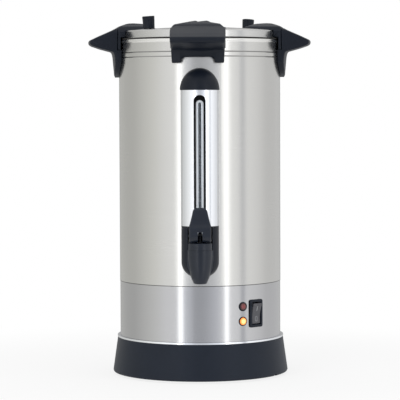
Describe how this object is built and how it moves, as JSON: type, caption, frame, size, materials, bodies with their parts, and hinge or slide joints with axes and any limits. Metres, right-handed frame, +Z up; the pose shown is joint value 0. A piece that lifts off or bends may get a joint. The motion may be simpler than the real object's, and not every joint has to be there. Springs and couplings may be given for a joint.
{
  "type": "coffee urn",
  "caption": "Tall cylindrical steel coffee urn with a lever tap, a sight gauge, a clip-on lid, side handles, a switch panel and a percolator set inside.",
  "frame": {"origin": "on the tank's axis in the plane that the rubber feet stand on, which is the bottom centre of the whole box", "axes": "+Z up along the tank's axis; the tap and the gauge face -Y; +X is to the right of someone facing the tap, where the switch is"},
  "size_m": [0.288, 0.2882, 0.4612],
  "materials": {
    "brushed_tank": "fine vertical and horizontal brushing",
    "brushed_skirt": "fine brushing",
    "bright_trim": "bright rolled",
    "bright_cover": "bright polished",
    "lid_steel": "brushed",
    "inner_steel": "satin",
    "base_plastic": "satin moulded",
    "handle_plastic": "satin moulded",
    "tap_plastic": "satin moulded",
    "dark_channel": "matt",
    "knob_plastic": "fluted",
    "switch_plastic": "gloss",
    "rocker_plastic": "gloss",
    "gauge_glass": "clear tube",
    "red_lens": "clear tinted",
    "amber_lens": "clear tinted, lit",
    "seal_rubber": "matt",
    "screw_steel": "plated",
    "pin_brass": "nickel plated",
    "bakelite": "moulded",
    "shield_aluminium": "plain"
  },
  "bodies": {
    "urn": {"tank": "brushed_tank", "lower_skirt": "brushed_skirt", "trim_ring": "bright_trim", "base_ring": "base_plastic", "bottom_plate": "inner_steel", "rubber_feet": "seal_rubber", "base_screws": "screw_steel", "base_nuts": "screw_steel", "tie_rods": "screw_steel", "tie_rod_nuts": "screw_steel", "heat_shield": "shield_aluminium", "main_heater": "inner_steel", "keep_warm_heater": "inner_steel", "thermostat": "bakelite", "thermal_cutout": "bakelite", "terminal_block": "bakelite", "switch_housing": "switch_plastic", "red_lamp_lens": "red_lens", "amber_lamp_lens": "amber_lens", "lamp_bezels": "switch_plastic", "power_inlet": "switch_plastic", "inlet_pins": "pin_brass", "inlet_screws": "screw_steel", "right_handle": "handle_plastic", "left_handle": "handle_plastic", "rear_handle": "handle_plastic", "front_bracket": "handle_plastic", "handle_screws": "screw_steel", "gauge_cover": "bright_cover", "gauge_top_cap": "handle_plastic", "gauge_screw": "screw_steel", "gauge_channel": "dark_channel", "sight_tube": "gauge_glass", "sight_tube_seal": "seal_rubber", "tap_shroud": "handle_plastic", "tap_body": "tap_plastic", "tap_bonnet": "tap_plastic", "tap_outer_washer": "seal_rubber", "tap_inner_washer": "seal_rubber", "tap_nut": "handle_plastic", "valve_spring": "inner_steel"},
    "lid_assembly": {"lid": "lid_steel", "lid_gasket": "seal_rubber", "right_lid_clip": "handle_plastic", "left_lid_clip": "handle_plastic", "rear_lid_clip": "handle_plastic", "front_lid_clip": "handle_plastic", "lid_clip_screws": "screw_steel", "lid_knob_screws": "screw_steel"},
    "near_knob": {"near_lid_knob": "knob_plastic"},
    "far_knob": {"far_lid_knob": "knob_plastic"},
    "percolator": {"pump_foot": "inner_steel", "pump_tube": "inner_steel"},
    "basket": {"coffee_basket": "inner_steel"},
    "spreader": {"water_spreader": "inner_steel"},
    "stem": {"valve_stem": "tap_plastic", "valve_seal": "seal_rubber", "lever_pin": "screw_steel"},
    "lever": {"tap_lever": "tap_plastic"},
    "power_rocker": {"rocker": "rocker_plastic"}
  },
  "joints": [
    {"name": "lid_lift", "type": "slide", "parent": "urn", "child": "lid_assembly", "axis": [0, 0, 1], "range_m": [0, 0.4]},
    {"name": "near_knob_turn", "type": "hinge", "parent": "lid_assembly", "child": "near_knob", "pos_m": [-0.06378, -0.05466, 0.44448], "axis": [-0.0635, -0.0545, 0.9965], "continuous": true},
    {"name": "far_knob_turn", "type": "hinge", "parent": "lid_assembly", "child": "far_knob", "pos_m": [0.06378, 0.05466, 0.44448], "axis": [0.0635, 0.0545, 0.9965], "continuous": true},
    {"name": "percolator_lift", "type": "slide", "parent": "urn", "child": "percolator", "axis": [0, 0, 1], "range_m": [0, 0.32]},
    {"name": "basket_lift", "type": "slide", "parent": "urn", "child": "basket", "axis": [0, 0, 1], "range_m": [0, 0.344]},
    {"name": "spreader_lift", "type": "slide", "parent": "urn", "child": "spreader", "axis": [0, 0, 1], "range_m": [0, 0.372]},
    {"name": "stem_lift", "type": "slide", "parent": "urn", "child": "stem", "axis": [0, 0, 1], "range_m": [0, 0.0043], "deforming": ["valve_spring"]},
    {"name": "lever_tilt", "type": "hinge", "parent": "stem", "child": "lever", "pos_m": [0, -0.1275, 0.1878], "axis": [1, 0, 0], "range_deg": [0, 45], "stiffness_Nm_per_rad": 0.12, "springref_deg": -34.38},
    {"name": "power_rocker_tilt", "type": "hinge", "parent": "urn", "child": "power_rocker", "pos_m": [0.06878, -0.07559, 0.0844], "axis": [0.7396, 0.673, 0], "range_deg": [-16, 0]}
  ],
  "couplings": [
    {"joint": "percolator_lift", "follows": "lid_lift", "ratio": 0.8},
    {"joint": "basket_lift", "follows": "lid_lift", "ratio": 0.86},
    {"joint": "spreader_lift", "follows": "lid_lift", "ratio": 0.93},
    {"joint": "stem_lift", "follows": "lever_tilt", "m_per_rad": 0.0054}
  ]
}
